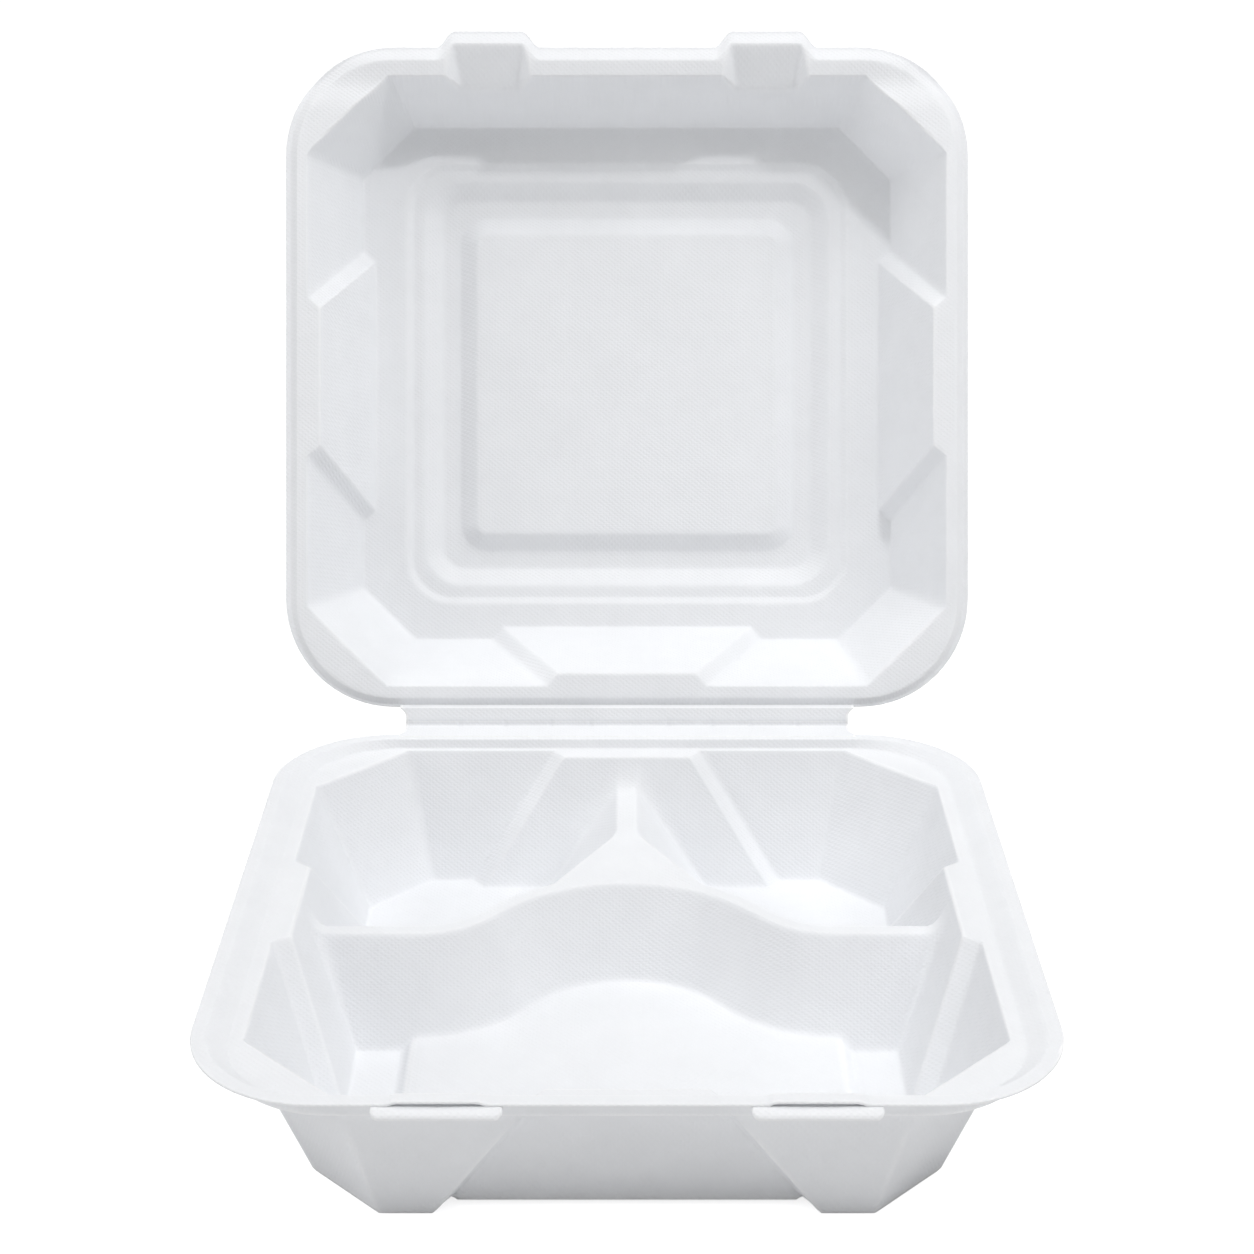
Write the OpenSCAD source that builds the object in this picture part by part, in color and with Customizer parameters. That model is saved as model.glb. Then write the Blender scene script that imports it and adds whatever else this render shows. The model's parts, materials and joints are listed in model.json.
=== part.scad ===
// Hinged three-compartment food container, moulded fibre, lid open.
// Millimetres, +Z up, origin at the middle of the base on the table plane.

/* [Base tray] */
// overall width of the base rim, left to right
base_width = 229; // [180:1:260]
// overall length of the base rim, front to back
base_length = 222; // [180:1:260]
// table to rim top
base_height = 45; // [38:0.5:60]
// thickness of the moulded sheet of the base
wall = 1; // [0.8:0.05:1.4]
// corner radius of the base rim
rim_corner = 36; // [28:1:42]
// flat flange around the base rim
flange_width = 4.2; // [3:0.1:5]
// step from the flange down to the ledge
ledge_drop = 3; // [2:0.1:4]
// ledge width beside the left and right walls
ledge_side = 4; // [2:0.1:5]
// ledge width at the front and back walls
ledge_end = 1.6; // [1:0.1:2.5]
// rim edge to the mouth of the tray, left and right
side_rim = 13.8; // [12:0.1:16]
// rim edge to the mouth of the tray, front and back
end_rim = 6.8; // [6.4:0.1:9]
// how far the side walls lean in down to the floor
side_lean = 16.3; // [10:0.1:20]
// how far the back wall leans in down to the floor
back_lean = 14.9; // [10:0.1:20]
// how far the front wall leans in down to the floor
front_lean = 11.2; // [8:0.1:16]
// corner cut at the mouth
mouth_cut = 27.6; // [24:0.2:32]
// corner cut at the floor
floor_cut = 19.5; // [16:0.2:23]
// height of the band under the flange
collar_height = 6.2; // [5:0.1:8]
// rounding cut along the bottom edge
foot_round = 2.6; // [1.5:0.1:4]

/* [Wall panels] */
// depth of the sunk wall panels
panel_inset = 5; // [3:0.1:6]
// panel length at the mouth
panel_top = 42; // [30:1:52]
// panel length at the floor
panel_floor = 95; // [80:1:104]
// slope length at each end of a panel
panel_flank = 3.6; // [2:0.1:5]

/* [Divider] */
// rim top down to the divider crest
crest_drop = 12.5; // [8:0.1:18]
// flat width of the crest
crest_width = 4.6; // [3:0.1:7]
// lean of the divider faces, degrees
divider_lean = 24; // [18:0.5:28]
// straight ends of the divider, forward of the middle
divider_offset = 0.6; // [-4:0.1:6]
// how far the middle of the divider bows back
bow_depth = 31; // [20:0.5:36]
// half length of the bow along the width
bow_span = 62; // [54:0.5:68]
// flat width of the stem that runs to the back wall
stem_width = 6.6; // [5:0.1:9]
// lean of the stem faces, degrees
stem_lean = 36; // [28:0.5:40]
// half width of the flare where the stem meets the bow
flare_half = 26; // [20:0.5:28]
// length of that flare
flare_length = 40; // [30:0.5:46]
// where the flare starts, forward of the peak of the bow
flare_setback = 8.4; // [7:0.1:9]
// lean of the flare faces, degrees
flare_lean = 30; // [24:0.5:32]

/* [Front platform] */
// lift of the front floor above the feet
platform_lift = 3; // [1.5:0.1:5]
// width of the lifted floor
platform_width = 126; // [116:1:130]
// slope length at its two ends
platform_slope = 2.5; // [1.5:0.1:4]

/* [Fold] */
// length of the scored fold, left to right
fold_width = 152; // [120:1:160]
// base rim to the fold
base_strip = 7.8; // [6:0.1:10]
// fold to the lid rim
lid_strip = 5.8; // [4.5:0.1:8]
// groove between the two strips
fold_groove = 0.2; // [0.2:0.05:0.6]
// gap between the rims when shut
shut_gap = 0.3; // [0.3:0.05:0.8]
// opening angle of the lid as drawn, degrees
open_angle = 111.8; // [90:0.2:150]

/* [Lid] */
// thickness of the moulded sheet of the lid
lid_wall = 0.7; // [0.6:0.05:1.2]
// how far the lid rim stands out past the base rim at each side
lid_overhang = 2.2; // [1.5:0.1:3]
// how much longer the lid is than the base
lid_extra = 3.6; // [2.8:0.1:5]
// corner radius of the lid rim
lid_corner = 37; // [30:1:42]
// rim to shoulder depth
lid_depth = 32; // [24:0.5:40]
// thin edge strip around the lid rim
lip_width = 2; // [1.6:0.1:2.6]
// height of the raised bead above the edge strip
bead_height = 2; // [1.4:0.1:2.6]
// slope length of the bead at the sides and the fold
bead_slope = 2.1; // [1.5:0.1:2.4]
// slope length of the bead at the front
bead_front = 3.8; // [2.6:0.1:4.2]
// lid rim edge to its mouth at the sides
lid_side_rim = 7.8; // [7:0.1:9.5]
// lid rim edge to its mouth at the front
lid_front_rim = 9.4; // [8.6:0.1:11]
// lid rim edge to its mouth at the fold
lid_fold_rim = 7.3; // [6.8:0.1:9]
// lean of the lid side walls
lid_side_lean = 15.3; // [10:0.1:18]
// lean of the lid front wall
lid_front_lean = 11.6; // [8:0.1:14]
// lean of the lid wall beside the fold
lid_fold_lean = 15.6; // [10:0.1:18]
// corner cut at the lid mouth
lid_mouth_cut = 27; // [23:0.2:31]
// corner cut at the lid shoulder
lid_deep_cut = 18.5; // [15:0.2:22]
// depth of the sunk panels in the lid walls
lid_panel_inset = 4.4; // [3:0.1:5.5]
// lid panel length at the mouth
lid_panel_top = 47; // [36:1:58]
// lid panel length at the shoulder
lid_panel_deep = 88; // [76:1:100]

/* [Lid roof] */
// size of the first roof ring
ring_one = 156; // [140:0.5:158]
// slope length of the first step
ring_slope = 2.2; // [1.5:0.1:3]
// width of the ledge ring inside it
ring_ledge = 4.1; // [3:0.1:5.5]
// slope length of the second and third steps
sink_slope = 6.2; // [4:0.1:7]
// width of the sunk ring
ring_flat = 6.1; // [4.5:0.1:7.5]
// depth of the first step
step_one = 1.2; // [0.8:0.1:2]
// depth of the second step
step_two = 3.4; // [2:0.1:4.5]
// height of the raised middle of the roof
step_three = 3; // [1.5:0.1:4.4]
// corner radius of the first ring
ring_corner = 16; // [13:0.5:24]

/* [Closing tabs] */
// distance between the middles of the two tabs
tab_spread = 95; // [80:1:104]
// width of each lid tab
tab_width = 29; // [27:0.5:33]
// how far each lid tab stands out past the lid rim
tab_reach = 5.5; // [4:0.1:7]
// inside width of the pocket behind each lid tab
pocket_width = 25.2; // [24.4:0.1:26.6]
// how far the pocket runs in past the mouth edge
pocket_run = 3.6; // [2.5:0.1:5]
// edge left between the pocket and the front of the rim
pocket_edge = 0.6; // [0.4:0.1:1.2]
// corner radius of each lid tab
tab_corner = 4; // [2:0.1:5]
// depth of the pocket where it meets the wall
pocket_depth = 7.5; // [5:0.1:10]
// width of each tongue under the base flange
tongue_width = 33; // [28:0.5:38]
// how far each tongue stands out past the base rim
tongue_reach = 2.6; // [2:0.1:5]
// rim top down to the tongue
tongue_drop = 2.4; // [2:0.1:4.2]
// side clearance of the raised nib inside the pocket
nib_clear = 0.6; // [0.5:0.1:1.2]
// height of the raised nib on the base flange
nib_height = 0.8; // [0.5:0.1:1.2]

/* [Hidden] */
$fn = 96;
slip = 0.01;
pulp = [0.94, 0.94, 0.92];
corner_steps = 8;
path_steps = 56;
// how much a 45 degree corner cut grows when its ring grows by 1
cut_growth = 2 - sqrt(2);
// sideways growth of a leaning wall for each unit of sheet
lean_growth = 1.06;
// sideways shift of a sloping side for each unit of sheet
slope_shift = 0.6;
// share of the foot rounding that is cut in at the table
foot_share = 0.75;
// share of the bow's two radii that its front arc takes
bow_share = 0.648;
// how far hidden ends run on into what they meet
overrun = 6;
// overlap of forms that are joined or cut
overlap = 1;
// how much tighter the ledge's corners are than the flange's
ledge_tighter = 2;
// half the stretch of the bow that its direction is read from
bow_stretch = 0.05;
mouth_z = base_height - ledge_drop;
mouth_x = base_width / 2 - side_rim;
mouth_y = base_length / 2 - end_rim;
floor_x = mouth_x - side_lean;
floor_back = mouth_y - back_lean;
floor_front = mouth_y - front_lean;
crest_z = base_height - crest_drop;
fold_y = base_length / 2 + base_strip;
fold_z = base_height + shut_gap / 2;
lid_x = base_width / 2 + lid_overhang;
lid_front = lid_strip + base_length + lid_extra;
lid_middle = (lid_strip + lid_front) / 2;
lid_mouth_x = lid_x - lid_side_rim;
lid_mouth_front = lid_front - lid_front_rim;
lid_mouth_fold = lid_strip + lid_fold_rim;
roof_middle = (lid_mouth_front - lid_front_lean + lid_mouth_fold + lid_fold_lean) / 2;
bow_turn = 2 * atan(bow_depth / bow_span);
bow_sum = bow_span / sin(bow_turn);
bow_front = bow_share * bow_sum;
bow_back = bow_sum - bow_front;
flare_y = bow_depth - divider_offset;
roof_one = ring_one / 2;
roof_two = roof_one - ring_slope - ring_ledge;
roof_three = roof_two - sink_slope - ring_flat;
ring_corner_two = ring_corner - ring_slope;
ring_corner_three = ring_corner - sink_slope;

// eight-sided ring from y = low to y = high, anticlockwise from above
function oct_ring(hx, low, high, cut, z) = [
  [hx, high - cut, z],
  [hx - cut, high, z],
  [cut - hx, high, z],
  [-hx, high - cut, z],
  [-hx, low + cut, z],
  [cut - hx, low, z],
  [hx - cut, low, z],
  [hx, low + cut, z]
];

// rounded rectangle ring, anticlockwise from above
function round_ring(hx, low, high, r, z) = [
  for (q = [0:3])
    for (i = [0:corner_steps])
      let (a = 90 * (q + i / corner_steps))
      let (cx = (q == 0 || q == 3) ? hx - r : r - hx)
      let (cy = (q < 2) ? high - r : low + r)
      [cx + r * cos(a), cy + r * sin(a), z]
];

// value on the straight line from a at 0 to b at 1
function mix(a, b, s) = a + (b - a) * s;

// skin over rings of equal length, lowest ring first
module loft(rings) {
  n = len(rings[0]);
  m = len(rings);
  low = [for (i = [0:n - 1]) i];
  high = [for (i = [n - 1:-1:0]) (m - 1) * n + i];
  sides = [
    for (k = [0:m - 2])
      for (i = [0:n - 1])
        [k * n + i, (k + 1) * n + i, (k + 1) * n + (i + 1) % n, k * n + (i + 1) % n]
  ];
  polyhedron(points = [for (r = rings) for (p = r) p], faces = concat([low], sides, [high]));
}

// flat rounded rectangle
module round_plate(hx, low, high, r) {
  translate([-hx, low + r]) square([2 * hx, high - low - 2 * r]);
  translate([r - hx, low]) square([2 * hx - 2 * r, high - low]);
  for (x = [-1, 1]) {
    translate([x * (hx - r), low + r]) circle(r);
    translate([x * (hx - r), high - r]) circle(r);
  }
}

// rounded rectangle block whose sides lean in by run towards its top
module round_frustum(hx, low, high, r, run, h) {
  rotate([90, 0, 0]) translate([0, 0, -(high - r)]) linear_extrude(high - low - 2 * r)
    polygon([[-hx, 0], [hx, 0], [hx - run, h], [run - hx, h]]);
  rotate([90, 0, 90]) translate([0, 0, -(hx - r)]) linear_extrude(2 * hx - 2 * r)
    polygon([[low, 0], [high, 0], [high - run, h], [low + run, h]]);
  for (x = [-1, 1]) {
    translate([x * (hx - r), low + r, 0]) cylinder(h = h, r1 = r, r2 = r - run);
    translate([x * (hx - r), high - r, 0]) cylinder(h = h, r1 = r, r2 = r - run);
  }
}

// wedge that sinks a wall panel, wall on the +X side
module panel_wedge(low_x, high_x, low_half, high_half, inset, flank, low_z, high_z) {
  reach = 2.5;
  loft([
    for (s = [0, 1])
      let (x = mix(low_x, high_x, s))
      let (h = mix(low_half, high_half, s))
      [
        [x, -h, mix(low_z, high_z, s)],
        [x + inset * reach, -h - flank * reach, mix(low_z, high_z, s)],
        [x + inset * reach, h + flank * reach, mix(low_z, high_z, s)],
        [x, h, mix(low_z, high_z, s)]
      ]
  ]);
}

// position along the wall height, 0 at the floor and 1 at the mouth
function rise(z) = (z - wall) / (mouth_z - wall);

// eight-sided form of the tray, grown outwards by g, from z = bottom to z = top
module tray_form(g, bottom, top) {
  bend = bottom + foot_round;
  cut_in = foot_share * foot_round;
  loft([
    for (z = [bottom, bend, top])
      let (s = rise(z))
      let (in = (z == bottom) ? cut_in : 0)
      let (hx = mix(floor_x, mouth_x, s) + g - in)
      let (back = mix(floor_back, mouth_y, s) + g - in)
      let (front = mix(floor_front, mouth_y, s) + g - in)
      oct_ring(hx, -front, back, mix(floor_cut, mouth_cut, s) + cut_growth * (g - in), z)
  ]);
}

// four sunk panels, moved outwards by g
module tray_panels(g, bottom, top) {
  s0 = rise(bottom);
  s1 = rise(top);
  half0 = mix(panel_floor, panel_top, s0) / 2 - g / 2;
  half1 = mix(panel_floor, panel_top, s1) / 2 - g / 2;
  floors = [floor_x, floor_back, floor_x, floor_front];
  mouths = [mouth_x, mouth_y, mouth_x, mouth_y];
  for (q = [0:3]) {
    x0 = mix(floors[q], mouths[q], s0) - panel_inset + g;
    x1 = mix(floors[q], mouths[q], s1) - panel_inset + g;
    rotate([0, 0, 90 * q]) panel_wedge(x0, x1, half0, half1, panel_inset, panel_flank, bottom, top);
  }
}

// middle line of the bowed divider at x
function bow_y(x) =
  let (u = abs(x))
  let (turn = bow_front * sin(bow_turn))
  let (peak = bow_depth - bow_front)
  (u < turn) ? peak + sqrt(bow_front * bow_front - u * u)
  : (u < bow_span) ? bow_back - sqrt(bow_back * bow_back - pow(bow_span - u, 2))
  : 0;

// direction across the divider at x
function bow_side(x) =
  let (d = (bow_y(x + bow_stretch) - bow_y(x - bow_stretch)) / (2 * bow_stretch))
  [-d, 1] / sqrt(1 + d * d);

// one divider cross-section at x: crest half width c, foot half width w
function bow_section(x, c, w, top, bottom) =
  let (y = bow_y(x) - divider_offset)
  let (n = bow_side(x))
  [
    [x - n[0] * w, y - n[1] * w, bottom],
    [x + n[0] * w, y + n[1] * w, bottom],
    [x + n[0] * c, y + n[1] * c, top],
    [x - n[0] * c, y - n[1] * c, top]
  ];

// leaning block that joins the stem to the bow on the +X side
module flare_block(top, bottom, run, trim) {
  dx = stem_width / 2 - flare_half;
  side = [flare_length, -dx] / norm([flare_length, dx]);
  near = [flare_half, flare_y - flare_setback];
  far = [stem_width / 2, near[1] + flare_length];
  out = side * (run - trim);
  in = side * -trim;
  loft([
    [
      [-overlap, flare_y + 2 * overlap, bottom],
      [near[0] + out[0], near[1] + out[1], bottom],
      [far[0] + out[0], far[1] + out[1], bottom],
      [-overlap, far[1] + out[1], bottom]
    ],
    [
      [-overlap, flare_y + 2 * overlap, top],
      [near[0] + in[0], near[1] + in[1], top],
      [far[0] + in[0], far[1] + in[1], top],
      [-overlap, far[1] + in[1], top]
    ]
  ]);
}

// divider form, sunk inwards by g, down to z = bottom
module divider_form(g, bottom) {
  top = crest_z - g;
  tall = top - bottom;
  t = tan(divider_lean);
  c = crest_width / 2 + g * t - g / cos(divider_lean);
  w = c + tall * t;
  stem_t = tan(stem_lean);
  stem_c = stem_width / 2 + g * stem_t - g / cos(stem_lean);
  reach = mouth_x + overrun;
  loft([
    for (i = [0:path_steps])
      let (x = -reach + 2 * reach * i / path_steps)
      bow_section(x, c, w, top, bottom)
  ]);
  stem_start = flare_y - overlap;
  stem_end = mouth_y + overrun;
  rotate([90, 0, 0]) translate([0, 0, -stem_end]) linear_extrude(stem_end - stem_start)
    polygon([
      [-stem_c - tall * stem_t, bottom],
      [stem_c + tall * stem_t, bottom],
      [stem_c, top],
      [-stem_c, top]
    ]);
  for (m = [0, 1]) {
    mirror([m, 0, 0]) flare_block(top, bottom, tall * tan(flare_lean), slope_shift * g);
  }
}

// lifted floor of the front compartment, sunk inwards by g, down to z = bottom
module platform_form(g, bottom) {
  top = wall + platform_lift - g;
  half = platform_width / 2 - slope_shift * g;
  foot = half + platform_slope * (top - bottom) / platform_lift;
  back = -divider_offset;
  rotate([90, 0, 0]) translate([0, 0, -back]) linear_extrude(back + base_length / 2)
    polygon([[-foot, bottom], [foot, bottom], [half, top], [-half, top]]);
  shoulder = bow_front * sin(bow_turn / 2);
  translate([0, 0, bottom]) linear_extrude(top - bottom) polygon([
    [crest_width - bow_span, back - slip],
    [bow_span - crest_width, back - slip],
    [shoulder, bow_y(shoulder) + back],
    [0, flare_y],
    [-shoulder, bow_y(shoulder) + back]
  ]);
}

// sheet outside the ledge and flange, grown by g
module rim_form(g, drop, lift) {
  out_x = base_width / 2 - flange_width + g;
  out_y = base_length / 2 - flange_width + g;
  in_x = mouth_x + ledge_side + g;
  in_y = mouth_y + ledge_end + g;
  loft([
    round_ring(in_x, -in_y, in_y, rim_corner - flange_width - ledge_tighter + g, mouth_z - drop),
    round_ring(out_x, -out_y, out_y, rim_corner - flange_width + g, base_height + lift)
  ]);
}

// one tongue and nib on the front of the base, centred on x = 0
module base_tongue() {
  front = -base_length / 2;
  root = front + flange_width + overlap;
  half = tongue_width / 2;
  round = tongue_reach / 2 + wall / 2;
  translate([0, 0, base_height - tongue_drop - wall]) linear_extrude(wall) {
    translate([-half, front - tongue_reach + round]) square([2 * half, root - front + tongue_reach - round]);
    translate([round - half, front - tongue_reach]) square([2 * half - 2 * round, round + slip]);
    for (x = [-1, 1]) {
      translate([x * (half - round), front - tongue_reach + round]) circle(round);
    }
  }
  nib = pocket_width - 2 * nib_clear;
  translate([-nib / 2, front, base_height - wall / 2]) cube([nib, flange_width, wall / 2 + nib_height]);
}

module base_tray() {
  color(pulp) difference() {
    union() {
      translate([0, 0, base_height - wall]) linear_extrude(wall)
        round_plate(base_width / 2, -base_length / 2, base_length / 2, rim_corner);
      translate([-fold_width / 2, base_length / 2 - flange_width, base_height - wall])
        cube([fold_width, flange_width + base_strip - fold_groove / 2, wall]);
      rim_form(wall, collar_height - ledge_drop, -wall / 2);
      difference() {
        tray_form(wall * lean_growth, 0, base_height - wall / 2);
        tray_panels(wall, -slip, base_height - collar_height);
      }
      for (x = [-1, 1]) {
        translate([x * tab_spread / 2, 0, 0]) base_tongue();
      }
    }
    rim_form(0, 0, slip);
    difference() {
      tray_form(0, wall, mouth_z + slip);
      tray_panels(0, wall - overlap, mouth_z + 2 * slip);
      divider_form(0, wall - overlap);
      platform_form(0, wall - overlap);
    }
    divider_form(wall, -overlap);
    platform_form(wall, -overlap);
  }
}

// position along the lid wall, 0 at the shoulder and 1 at the mouth
function lid_rise(z) = (z + lid_depth) / lid_depth;

// eight-sided form of the lid, grown outwards by g, from z = bottom to z = top
module lid_form(g, bottom, top) {
  loft([
    for (z = [bottom, top])
      let (s = lid_rise(z))
      oct_ring(
        lid_mouth_x - lid_side_lean * (1 - s) + g,
        lid_mouth_fold + lid_fold_lean * (1 - s) - g,
        lid_mouth_front - lid_front_lean * (1 - s) + g,
        mix(lid_deep_cut, lid_mouth_cut, s) + cut_growth * g,
        z
      )
  ]);
}

// sunk panels of the lid sides and of the wall beside the fold, moved outwards by g
module lid_panels(g, bottom, top) {
  s0 = lid_rise(bottom);
  s1 = lid_rise(top);
  half0 = mix(lid_panel_deep, lid_panel_top, s0) / 2 - g / 2;
  half1 = mix(lid_panel_deep, lid_panel_top, s1) / 2 - g / 2;
  x0 = lid_mouth_x - lid_side_lean * (1 - s0) - lid_panel_inset + g;
  x1 = lid_mouth_x - lid_side_lean * (1 - s1) - lid_panel_inset + g;
  for (a = [0, 180]) {
    translate([0, lid_middle, 0]) rotate([0, 0, a])
      panel_wedge(x0, x1, half0, half1, lid_panel_inset, panel_flank, bottom, top);
  }
  y0 = lid_fold_lean * (s0 - 1) - lid_mouth_fold - lid_panel_inset + g;
  y1 = lid_fold_lean * (s1 - 1) - lid_mouth_fold - lid_panel_inset + g;
  rotate([0, 0, -90]) panel_wedge(y0, y1, half0, half1, lid_panel_inset, panel_flank, bottom, top);
}

// sunk rings of the lid roof, grown by g, measured from z = 0 at the shoulder down
module roof_form(g) {
  one = roof_one + g;
  two = roof_two + g;
  mirror([0, 0, 1]) {
    translate([0, 0, -slip]) round_frustum(one, -one, one, ring_corner, ring_slope, step_one + g + slip);
    round_frustum(two, -two, two, ring_corner_two, sink_slope, step_one + step_two + g);
  }
}

// raised middle of the lid roof, shrunk by g, standing on the sunk ring
module roof_middle_form(g, foot) {
  three = roof_three - g;
  translate([0, 0, -foot])
    round_frustum(three, -three, three, ring_corner_three, sink_slope, step_three - g + foot);
}

// pocket behind a lid tab, grown by g, cut off at z = top
module pocket_form(g, half, top) {
  edge = lid_front - pocket_edge + g;
  inner = lid_mouth_front - pocket_run;
  deep = -pocket_depth - g;
  rotate([90, 0, 90]) translate([0, 0, -half]) linear_extrude(2 * half) polygon([
    [inner - pocket_run, top],
    [edge, top],
    [edge, -bead_height / 2 - g],
    [inner, deep],
    [inner - pocket_run, deep]
  ]);
}

// one closing tab plate, centred on x = 0
module lid_tab() {
  half = tab_width / 2;
  tip = lid_front + tab_reach;
  root = lid_front - lip_width;
  translate([0, 0, -bead_height - lid_wall]) linear_extrude(lid_wall) {
    translate([-half, root]) square([2 * half, tip - root - tab_corner]);
    translate([tab_corner - half, root]) square([2 * half - 2 * tab_corner, tip - root]);
    for (x = [-1, 1]) {
      translate([x * (half - tab_corner), tip - tab_corner]) circle(tab_corner);
    }
  }
}

// raised bead around the lid rim, sunk by g, from z = foot up
module bead_form(g, foot) {
  in = lip_width + g * slope_shift;
  end = lip_width / 2 + g * slope_shift;
  low = lid_strip + end;
  high = lid_front - end;
  loft([
    round_ring(lid_x - in, low, high, lid_corner - in, foot),
    round_ring(lid_x - in, low, high, lid_corner - in, -bead_height - g),
    round_ring(
      lid_x - in - bead_slope,
      low + bead_slope,
      high - bead_front,
      lid_corner - in - bead_slope,
      -g
    )
  ]);
}

// lid lying open and flat, inside up, with the fold on the X axis
module flat_lid() {
  roof_z = -lid_depth;
  difference() {
    union() {
      difference() {
        union() {
          translate([0, 0, -bead_height - lid_wall]) linear_extrude(lid_wall)
            round_plate(lid_x, lid_strip, lid_front, lid_corner);
          bead_form(0, -bead_height - lid_wall / 2);
        }
        bead_form(lid_wall, -bead_height - lid_wall - overrun);
      }
      translate([-fold_width / 2, fold_groove / 2, -lid_wall])
        cube([fold_width, lid_mouth_fold - fold_groove / 2, lid_wall]);
      difference() {
        lid_form(lid_wall * lean_growth, roof_z - lid_wall, -lid_wall / 2);
        lid_panels(lid_wall, roof_z - lid_wall - slip, -bead_height - lid_wall);
      }
      translate([0, roof_middle, roof_z]) roof_form(lid_wall);
      for (x = [-1, 1]) {
        translate([x * tab_spread / 2, 0, 0]) {
          lid_tab();
          pocket_form(lid_wall, pocket_width / 2 + lid_wall, -bead_height / 2);
        }
      }
    }
    difference() {
      lid_form(0, roof_z, slip);
      lid_panels(0, roof_z - overlap, 2 * slip);
    }
    difference() {
      translate([0, roof_middle, roof_z]) roof_form(0);
      translate([0, roof_middle, roof_z - step_one - step_two]) roof_middle_form(0, lid_wall);
    }
    translate([0, roof_middle, roof_z - step_one - step_two - lid_wall]) roof_middle_form(lid_wall * slope_shift, overlap);
    for (x = [-1, 1]) {
      translate([x * tab_spread / 2, 0, 0]) pocket_form(0, pocket_width / 2, overrun);
    }
  }
}

module lid() {
  color(pulp) translate([0, fold_y, fold_z]) rotate([180 - open_angle, 0, 0])
    translate([0, 0, -shut_gap / 2]) flat_lid();
}

base_tray();
lid();
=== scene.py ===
import json
import math
import bpy
import numpy as np
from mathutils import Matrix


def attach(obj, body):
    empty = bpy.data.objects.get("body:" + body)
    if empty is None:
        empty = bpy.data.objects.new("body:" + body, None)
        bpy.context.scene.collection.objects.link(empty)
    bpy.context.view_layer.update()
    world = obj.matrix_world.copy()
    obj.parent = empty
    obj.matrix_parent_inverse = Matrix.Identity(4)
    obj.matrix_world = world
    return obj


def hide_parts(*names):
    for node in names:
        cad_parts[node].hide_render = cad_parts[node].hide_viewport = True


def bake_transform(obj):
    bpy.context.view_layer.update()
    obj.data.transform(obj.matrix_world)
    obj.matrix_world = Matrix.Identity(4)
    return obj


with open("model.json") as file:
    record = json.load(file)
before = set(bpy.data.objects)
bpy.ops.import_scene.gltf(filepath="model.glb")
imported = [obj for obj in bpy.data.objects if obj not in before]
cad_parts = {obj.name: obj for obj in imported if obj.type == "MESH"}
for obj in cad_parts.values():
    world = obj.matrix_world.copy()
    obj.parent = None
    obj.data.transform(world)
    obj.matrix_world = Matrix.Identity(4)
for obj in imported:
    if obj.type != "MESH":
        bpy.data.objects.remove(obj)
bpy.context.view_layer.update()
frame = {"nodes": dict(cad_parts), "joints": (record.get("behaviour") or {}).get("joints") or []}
print("frame loaded:", ", ".join(sorted(frame["nodes"])))

mm = 0.001  # sizes below are in millimetres, apart from stage and view; meshes are put down in metres
foldJoint = frame["joints"][0]
foldY = foldJoint["pos_m"][1] / mm
foldZ = foldJoint["pos_m"][2] / mm
lidTurn = math.radians(180 - foldJoint["range_deg"][1])  # lid lying flat to lid as it stands
keyRoom = 0.97  # share of a side that its panel places may take up
cutGrow = 0.6  # how much a corner cut widens when its line grows outwards by 1
steepest = 4.0  # rise over run past which a sheet's thickness straight down stops growing
# shares of the way down a wall at which it has a row, close together at its mouth and its foot
wallSteps = [0, 0.015, 0.04, 0.08, 0.14, 0.22, 0.32, 0.42, 0.52, 0.62, 0.72, 0.8, 0.87, 0.92, 0.96, 0.985]


# Larger of two heights; where they are within k of each other the corner is filled by a parabola.
def softMax(a, b, k):
    h = np.clip(0.5 + 0.5 * (a - b) / k, 0, 1)
    return b + (a - b) * h + k * h * (1 - h)


# Smaller of two heights, corner rounded the same way.
def softMin(a, b, k):
    return -softMax(-a, -b, k)


# 0 below 0, v between, 1 above 1, with both bends rounded over k.
def ramp(v, k=0.2):
    return softMin(softMax(v, 0.0, k), 1.0, k)


# 0 to 1 between a and b on the usual cubic.
def ease(v, a, b):
    s = np.clip((v - a) / (b - a), 0, 1)
    return s * s * (3 - 2 * s)


# Signed distance to a rounded rectangle: longest overshoot past the inner box, less the corner radius.
def roundRect(x, y, hx, low, high, r):
    qx = np.abs(x) - (hx - r)
    qy = np.abs(y - (low + high) / 2) - ((high - low) / 2 - r)
    outside = np.hypot(np.maximum(qx, 0), np.maximum(qy, 0))
    return outside + np.minimum(np.maximum(qx, qy), 0) - r


# How far a point is on its way from one rounded rectangle (0) out to a larger one (1), by distances.
def betweenRects(x, y, inner, outer):
    a = roundRect(x, y, *inner)
    b = -roundRect(x, y, *outer)
    return a / np.maximum(a + b, 1e-6)


# Steps from 0 to 1 packed closer together at both ends by a cosine.
def packed(count, share=0.6):
    s = np.arange(count) / count
    return (1 - share) * s + share * (0.5 - 0.5 * np.cos(np.pi * s))


# Steps from 0 to 1, the same to both sides of the middle: even steps between given distances from it.
def mirrored(places, counts):
    spans = zip(places[:-1], places[1:], counts)
    half = np.concatenate([np.linspace(a, b, n + 1)[1:] for a, b, n in spans])
    return np.concatenate((-half[::-1], [0], half[:-1])) / (2 * half[-1]) + 0.5


# Places of the columns around a ring: for each side five stretches (corner, flank, panel, flank, corner)
# numbered 0 to 5, then the corner numbered 0 to 1. A count gives packed steps.
def columnPlan(sides, corner):
    plan = []
    for stretches in sides:
        steps = [packed(s) if isinstance(s, int) else s for s in stretches]
        plan.append(np.concatenate([k + s for k, s in enumerate(steps)]))
    return plan, np.arange(corner) / corner


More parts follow.
